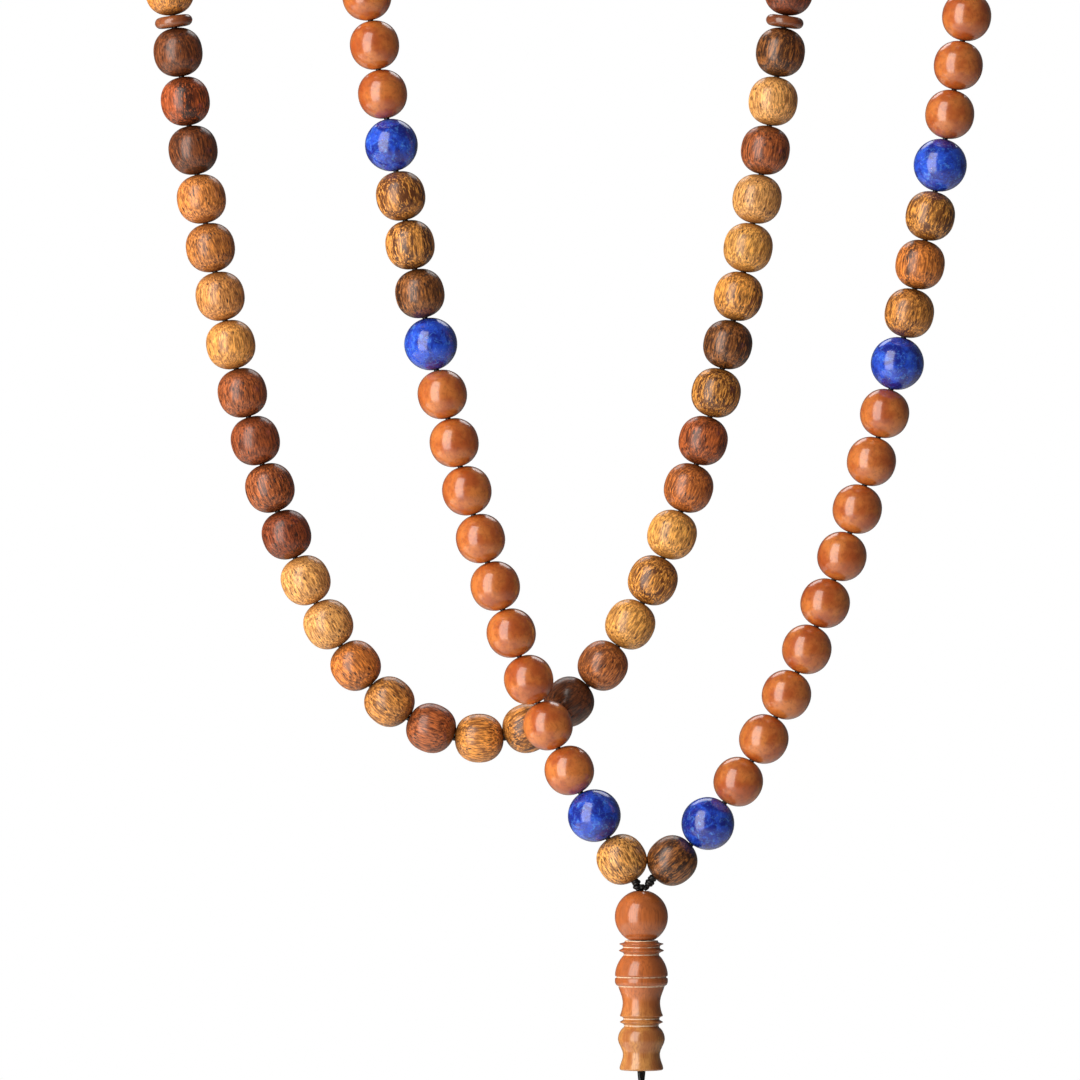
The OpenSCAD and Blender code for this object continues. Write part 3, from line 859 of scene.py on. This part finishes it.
def nutMaterial(name, light, middle, dark):
    # Palm nut: turned, sanded fine and buffed on a wheel with wax, so it shines like glass
    # over a warm body that is faintly mottled and never quite one colour.
    material, add = newMaterial(name)
    grain = add("Attribute", {}, "Vector", attribute_name="grain")
    shift = add("Attribute", {}, "Vector", attribute_name="shift")
    moved = add("VectorMath", {0: grain, 1: shift}, operation="ADD")
    cloud = add("TexNoise", {"Vector": moved, "Scale": 0.22, "Detail": 3.0, "Roughness": 0.55})
    tone = add("Mix",
               {0: add("MapRange", {0: cloud, 1: 0.35, 2: 0.65, 3: 0.0, 4: 1.0},
                       interpolation_type="SMOOTHSTEP"), 6: colourOf(middle), 7: colourOf(light)},
               2, data_type="RGBA")
    mottle = add("TexNoise", {"Vector": moved, "Scale": 1.3, "Detail": 4.0, "Roughness": 0.6})
    tone = add("Mix",
               {0: add("MapRange", {0: mottle, 1: 0.45, 2: 0.7, 3: 0.0, 4: 0.4},
                       interpolation_type="SMOOTHSTEP"), 6: tone, 7: colourOf(dark)}, 2,
               data_type="RGBA")
    fibre = add("TexNoise",
                {"Vector": add("VectorMath", {0: moved, 1: (1.0, 1.0, 0.1)}, operation="MULTIPLY"),
                 "Scale": 4.5, "Detail": 3.0})
    tone = add("Mix",
               {0: add("MapRange", {0: fibre, 1: 0.5, 2: 0.8, 3: 0.0, 4: 0.25},
                       interpolation_type="SMOOTHSTEP"), 6: tone, 7: colourOf(dark)}, 2,
               data_type="RGBA")
    setShader(material,
              {"Base Color": tone, "Roughness": 0.3, "IOR": 1.54, "Coat Weight": 1.0,
               "Coat Roughness": 0.08, "Subsurface Weight": 0.12,
               "Subsurface Radius": (1.0, 0.45, 0.2), "Subsurface Scale": 0.9 * mm,
               "Normal": add("Bump",
                             {"Height": add("TexNoise",
                                            {"Vector": moved, "Scale": 0.8, "Detail": 2.0}),
                              "Strength": 0.12, "Distance": 0.05 * mm})})
    return material


def lapisMaterial():
    # Lapis lazuli: ground round and tumbled to a hard polish, so the blue stays deep, with
    # paler azure clouds, white calcite wisps and specks of pyrite that glitter.
    material, add = newMaterial("polishedLapis")
    grain = add("Attribute", {}, "Vector", attribute_name="grain")
    shift = add("Attribute", {}, "Vector", attribute_name="shift")
    moved = add("VectorMath", {0: grain, 1: shift}, operation="ADD")
    cloud = add("TexNoise",
                {"Vector": moved, "Scale": 0.32, "Detail": 5.0, "Roughness": 0.62,
                 "Distortion": 0.8})
    tone = add("Mix",
               {0: add("MapRange", {0: cloud, 1: 0.38, 2: 0.6, 3: 0.0, 4: 1.0},
                       interpolation_type="SMOOTHSTEP"), 6: colourOf("#12228E"),
                7: colourOf("#2450D6")}, 2, data_type="RGBA")
    azure = add("TexNoise",
                {"Vector": moved, "Scale": 0.9, "Detail": 5.0, "Roughness": 0.65, "Distortion": 1.2})
    tone = add("Mix",
               {0: add("MapRange", {0: azure, 1: 0.5, 2: 0.72, 3: 0.0, 4: 0.7},
                       interpolation_type="SMOOTHSTEP"), 6: tone, 7: colourOf("#5A9CFA")}, 2,
               data_type="RGBA")
    tone = add("Mix",
               {0: add("MapRange",
                       {0: add("TexNoise", {"Vector": moved, "Scale": 2.6, "Detail": 3.0}), 1: 0.52,
                        2: 0.7, 3: 0.0, 4: 0.4}, interpolation_type="SMOOTHSTEP"), 6: tone,
                7: colourOf("#0B1450")}, 2, data_type="RGBA")
    wisp = add("TexNoise",
               {"Vector": moved, "Scale": 0.5, "Detail": 6.0, "Roughness": 0.7, "Distortion": 1.5})
    tone = add("Mix",
               {0: add("MapRange", {0: wisp, 1: 0.66, 2: 0.74, 3: 0.0, 4: 0.6},
                       interpolation_type="SMOOTHSTEP"), 6: tone, 7: colourOf("#A9B9DD")}, 2,
               data_type="RGBA")
    cells = add("TexVoronoi", {"Vector": moved, "Scale": 2.1, "Randomness": 1.0}, None)
    pick = add("SeparateColor", {0: cells["Color"]}, None)
    speck = add("Math",
                {0: add("MapRange", {0: cells["Distance"], 1: 0.1, 2: 0.16, 3: 1.0, 4: 0.0},
                        interpolation_type="SMOOTHSTEP"),
                 1: add("Math", {0: pick[0], 1: 0.16}, operation="LESS_THAN")},
                operation="MULTIPLY")
    tone = add("Mix", {0: speck, 6: tone, 7: colourOf("#C9A865")}, 2, data_type="RGBA")
    setShader(material,
              {"Base Color": tone,
               "Metallic": add("Math", {0: speck, 1: 0.8}, operation="MULTIPLY"), "Roughness": 0.22,
               "IOR": 1.5, "Coat Weight": 0.8, "Coat Roughness": 0.05})
    return material


hardwood = woodMaterial()
palmNut = nutMaterial("buffedPalmNut", "#D07A38", "#B05420", "#7C3412")
discNut = nutMaterial("buffedDarkNut", "#9A5730", "#7A3F20", "#54290F")
lapis = lapisMaterial()
coats = {"wood": hardwood, "nut": palmNut, "lapis": lapis, "disc": discNut}
print("bead materials mixed")


def itemAt(side, index, seed):
    kind = kinds[index]
    look = woodLook(lookOf(side, index), seed) if kind == "wood" else plain
    return (kind, ends[side][index], ends[side][index + 1], look, seed)


beadCount = 1       # the lowest bead of the back loop
for side in signs:
    base = 1000 if side == "left" else 2000     # every bead has a seed of its own
    counts = {"wood": 0, "nut": 0, "lapis": 0}
    for i in range(lastSingle + 1):
        kind = kinds[i]
        counts[kind] += 1
        node = f"{side}_{kind}_bead_{counts[kind]}"
        makeBeads(f"{side}{kind.title()}Bead{counts[kind]}", node, node,
                  [itemAt(side, i, base + i)], coats[kind])
        beadCount += 1
    upper = range(lastSingle + 1, lastFront + 1)
    overPeg = range(lastFront + 1, lastPeg + 1)
    backHalf = range(lastPeg + 1, len(kinds))
    groups = [
        ("UpperNutBeads", "_upper_nut_beads", "front_loop", "nut", upper),
        ("PegNutBeads", "_peg_nut_beads", "held_over_pegs", "nut", overPeg),
        ("PegLapisBead", "_peg_lapis_bead", side + "_peg_lapis_bead", "lapis", overPeg),
        ("PegWoodBeads", "_peg_wood_beads", "held_over_pegs", "wood", overPeg),
        ("SectionDisc", "_section_disc", side + "_section_disc", "disc", backHalf),
        ("BackWoodBeads", "_back_wood_beads", "back_loop", "wood", backHalf),
    ]
    for name, nodeEnd, body, kind, span in groups:
        items = [itemAt(side, i, base + i) for i in span if kinds[i] == kind]
        makeBeads(side + name, side + nodeEnd, body, items, coats[kind])
        beadCount += len(items)
lowestLook = woodLook(lookOf("left", None), 3000)
makeBeads("lowestBackBead", "lowest_back_bead", "lowest_back_bead",
          [("wood", ends["left"][-1], ends["right"][-1], lowestLook, 3000)], hardwood)
print("beads strung:", beadCount - 2, "and 2 discs")


# The leader, mm. The stem's outline is depth below its top and radius.
leader = {
    "ballRadius": 5.4,
    "ballFace": 10.15,      # depth of the flat under the ball
    "mouthRadius": 1.6,
    "stemTop": 10.25,
    "hole": 1.16,
    "steps": 96,
    "scoreWidth": 0.16,
    # Depths of the fine lines scored through the finish
    "scores": [0.06, 1.36, 2.9, 7.42, 9.3, 15.9, 17.3],
    "stem": [
        (0.0, 3.35), (0.12, 3.4), (0.3, 3.44), (0.45, 3.75), (0.58, 4.3), (0.64, 4.46),
        (0.7, 4.5), (0.76, 4.47), (0.84, 4.3), (0.98, 3.95), (1.08, 3.82), (1.26, 3.76),
        (1.46, 3.76), (1.58, 3.8), (1.7, 4.0), (1.9, 4.42), (1.97, 4.54), (2.04, 4.57),
        (2.11, 4.54), (2.22, 4.36), (2.42, 3.9), (2.56, 3.66), (2.8, 3.58), (2.98, 3.6),
        (3.1, 3.68), (3.3, 3.9), (3.7, 4.22), (4.3, 4.6), (5.0, 4.94), (5.8, 5.2),
        (6.4, 5.32), (6.85, 5.36), (7.12, 5.34), (7.22, 5.28), (7.27, 5.14), (7.34, 5.06),
        (7.5, 5.05), (7.56, 5.12), (7.61, 5.26), (7.7, 5.35), (8.0, 5.39), (8.4, 5.38),
        (8.75, 5.28), (9.0, 5.13), (9.1, 5.0), (9.17, 4.86), (9.22, 4.74), (9.38, 4.7),
        (9.5, 4.66), (9.6, 4.6), (9.9, 4.53), (10.6, 4.26), (11.4, 3.98), (12.2, 3.83),
        (12.8, 3.8), (13.4, 3.86), (14.2, 4.02), (14.8, 4.2), (15.12, 4.34), (15.26, 4.36),
        (15.38, 4.3), (15.5, 4.0), (15.62, 3.78), (15.82, 3.68), (15.98, 3.66), (16.15, 3.74),
        (16.3, 4.05), (16.46, 4.3), (16.54, 4.37), (16.6, 4.37), (16.68, 4.28), (16.84, 3.9),
        (17.0, 3.6), (17.22, 3.52), (17.38, 3.52), (17.5, 3.54), (17.62, 3.62), (17.9, 3.95),
        (18.4, 4.32), (19.0, 4.6), (19.6, 4.74), (20.1, 4.77), (20.8, 4.6), (21.6, 4.22),
        (22.4, 3.88), (23.0, 3.75), (23.7, 3.8), (24.5, 4.02), (25.3, 4.3), (25.8, 4.43),
        (26.05, 4.43), (26.22, 4.35), (26.34, 4.1), (26.4, 3.6), (26.42, 2.6), (26.4, 1.9),
        (26.3, 1.74), (25.9, 1.5), (25.3, 1.18)],
}


def scored(points):
    # Marks each point with how bare it is, and adds points where a scored line starts and ends
    made = []
    half = leader["scoreWidth"] / 2
    for (z, r), (nextZ, nextR) in zip(points, points[1:]):
        stops = {z}
        if 0 <= z < nextZ:
            for line in leader["scores"]:
                stops |= {c for c in (line - half - 0.04, line - half, line + half, line + half + 0.04)
                          if z < c < nextZ}
        for c in sorted(stops):
            share = (c - z) / (nextZ - z) if c != z else 0
            bare = float(any(abs(c - line) <= half + 1e-6 for line in leader["scores"]) and r > 2)
            made.append((c, r + (nextR - r) * share, bare))
    return made + [(*points[-1], 0.0)]


def leaderMaterial():
    # Fruitwood: turned on the lathe in one go and friction polished, with fine lines
    # scored last through the finish, so the body is glossy and the lines are pale bare wood.
    material, add = newMaterial("polishedFruitwood")
    grain = add("Attribute", {}, "Vector", attribute_name="grain")
    shift = add("Attribute", {}, "Vector", attribute_name="shift")
    bare = add("Attribute", {}, "Fac", attribute_name="bare")
    moved = add("VectorMath", {0: grain, 1: shift}, operation="ADD")
    parts = add("SeparateXYZ", {0: grain}, None)
    low = add("MapRange",
              {0: add("Math",
                      {0: parts["Z"],
                       1: add("Math",
                              {0: add("TexNoise", {"Vector": moved, "Scale": 0.25, "Detail": 2.0}),
                               1: 5.0}, operation="MULTIPLY")}, operation="ADD"), 1: -27.0,
               2: -17.0, 3: 1.0, 4: 0.0}, interpolation_type="SMOOTHSTEP")
    tone = add("Mix", {0: low, 6: colourOf("#BE6832"), 7: colourOf("#CA8C4C")}, 2, data_type="RGBA")
    fibre = add("TexNoise",
                {"Vector": add("VectorMath", {0: moved, 1: (1.0, 1.0, 0.06)}, operation="MULTIPLY"),
                 "Scale": 3.2, "Detail": 4.0, "Roughness": 0.6})
    tone = add("Mix",
               {0: add("MapRange", {0: fibre, 1: 0.42, 2: 0.7, 3: 0.0, 4: 0.6},
                       interpolation_type="SMOOTHSTEP"), 6: tone, 7: colourOf("#7C3E1A")}, 2,
               data_type="RGBA")
    cloud = add("TexNoise",
                {"Vector": add("VectorMath", {0: moved, 1: (1.0, 1.0, 0.4)}, operation="MULTIPLY"),
                 "Scale": 0.3, "Detail": 3.0})
    tone = add("Mix",
               {0: add("MapRange", {0: cloud, 1: 0.42, 2: 0.62, 3: 0.0, 4: 0.7},
                       interpolation_type="SMOOTHSTEP"), 6: tone, 7: colourOf("#9C5429")}, 2,
               data_type="RGBA")
    scrape = add("TexNoise", {"Vector": moved, "Scale": 1.6, "Detail": 4.0, "Roughness": 0.7})
    bare = add("Math",
               {0: bare,
                1: add("MapRange", {0: scrape, 1: 0.4, 2: 0.5, 3: 0.25, 4: 1.0},
                       interpolation_type="SMOOTHSTEP")}, operation="MULTIPLY")
    tone = add("Mix",
               {0: bare, 6: tone,
                7: add("Mix", {0: scrape, 6: colourOf("#F2E4CF"), 7: colourOf("#D9B994")}, 2,
                       data_type="RGBA")}, 2, data_type="RGBA")
    setShader(material,
              {"Base Color": tone,
               "Roughness": add("MapRange", {0: bare, 1: 0.3, 2: 0.7, 3: 0.28, 4: 0.7},
                                interpolation_type="SMOOTHSTEP"), "IOR": 1.52,
               "Coat Weight": add("MapRange", {0: bare, 1: 0.3, 2: 0.6, 3: 0.75, 4: 0.0},
                                  interpolation_type="SMOOTHSTEP"), "Coat Roughness": 0.07,
               "Normal": add("Bump", {"Height": scrape, "Strength": 0.12, "Distance": 0.03 * mm})})
    return material


fruitwood = leaderMaterial()


def makeTurned(name, node, points, top):
    # points are depth, radius, bareness, from the upper hole edge round to the lower one
    bm = spun([(r, -z) for z, r, _ in points], leader["steps"])
    grain = bm.verts.layers.float_vector.new("grain")
    shift = bm.verts.layers.float_vector.new("shift")
    bare = bm.verts.layers.float.new("bare")
    table = {(round(r, 3), round(z, 3)): flag for z, r, flag in points}
    for vert in bm.verts:
        key = (round(vert.co.xy.length, 3), round(-vert.co.z, 3))
        near = table.get(key)
        if near is None:
            near = table[min(table, key=lambda spot: abs(spot[0] - key[0]) + abs(spot[1] - key[1]))]
        vert[bare] = near
        vert[grain] = vert.co + Vector((0, 0, (top.z - leaderTop.z) / mm))
        vert[shift] = (9.0, 4.0, 0.0)
        vert.co = top + vert.co * mm
    made = finishMesh(name, bm, fruitwood)
    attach(made, node)
    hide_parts(node)


radius = leader["ballRadius"]
hole = leader["hole"]
ballPoints = [(1.6, hole, 0.0), (0.6, hole + 0.03, 0.0), (0.26, 1.36, 0.0), (0.2, 1.5, 0.0)]
firstTurn = math.asin(leader["mouthRadius"] / radius)
for i in range(41):
    t = firstTurn + (math.radians(151) - firstTurn) * i / 40
    ballPoints.append((radius * (1 - math.cos(t)), radius * math.sin(t), 0.0))
ballPoints += [(leader["ballFace"] - 0.02, 2.4, 0.0), (leader["ballFace"], 2.0, 0.0),
               (leader["ballFace"], hole, 0.0)]
makeTurned("leaderBall", "leader_ball", ballPoints, leaderTop)
stemPoints = [(0.0, hole, 0.0), (0.0, 2.4, 0.0)] + scored(leader["stem"])
makeTurned("leaderStem", "leader_stem", stemPoints,
           leaderTop - Vector((0, 0, leader["stemTop"] * mm)))
print("leader turned")


studio = {
    "floorZ": -0.8,         # m
    "floorRadius": 2.5,
    "world": 0.08,          # light from all round
    "aim": (0.0, 0.0, -0.15),
    # place, width, height, watts and colour
    "lights": {
        "keySoftbox": ((-0.8, -1.05, 0.05), 1.0, 2.8, 34.0, "#FFFAF2"),
        "sidePanel": ((-1.2, 0.05, -0.05), 0.55, 2.6, 24.0, "#FFF4E2"),
        "backTopPanel": ((0.0, 0.85, 0.75), 1.4, 0.5, 4.5, "#FFFFFF"),
    },
}


def floorMaterial():
    # Painted board: rolled matt white, so it is pale with the faintest orange peel.
    material, add = newMaterial("mattWhiteBoard")
    place = add("TexCoord", {}, "Object")
    peel = add("TexNoise", {"Vector": place, "Scale": 900.0, "Detail": 3.0})
    tone = add("Mix",
               {0: add("TexNoise", {"Vector": place, "Scale": 3.0, "Detail": 2.0}),
                6: colourOf("#F4F3F1"), 7: colourOf("#EBEAE8")}, 2, data_type="RGBA")
    setShader(material,
              {"Base Color": tone, "Roughness": 0.85,
               "Normal": add("Bump", {"Height": peel, "Strength": 0.1, "Distance": 0.2 * mm})})
    return material


bm = bmesh.new()
bmesh.ops.create_circle(bm, cap_ends=True, radius=studio["floorRadius"], segments=96)
for vert in bm.verts:
    vert.co.z = studio["floorZ"]
floor = finishMesh("floorBoard", bm, floorMaterial())

world = bpy.data.worlds.new("studioWorld")
bpy.context.scene.world = world
world.use_nodes = True
tree = world.node_tree
background = tree.nodes["Background"]
ray = addNode(tree, "LightPath", {}, "Is Camera Ray")
strength = addNode(tree, "MapRange", {"Value": ray, "To Min": studio["world"], "To Max": 1.0})
fill(tree, background, {"Color": (1, 1, 1, 1), "Strength": strength})


def areaLight(name, place, width, height, power, colour):
    data = bpy.data.lights.new(name, "AREA")
    data.shape = "RECTANGLE"
    data.size, data.size_y = width, height
    data.energy = power
    data.color = linear(colour)
    made = bpy.data.objects.new(name, data)
    made.location = place
    made.rotation_euler = (Vector(studio["aim"]) - Vector(place)).to_track_quat("-Z", "Y").to_euler()
    made.visible_camera = False
    bpy.context.scene.collection.objects.link(made)
    return made


for name, values in studio["lights"].items():
    light = areaLight(name, *values)
    # The side panel only lifts the left edges and leaves no streak there
    light.visible_glossy = name != "sidePanel"
print("studio lit")

print("scene finished")
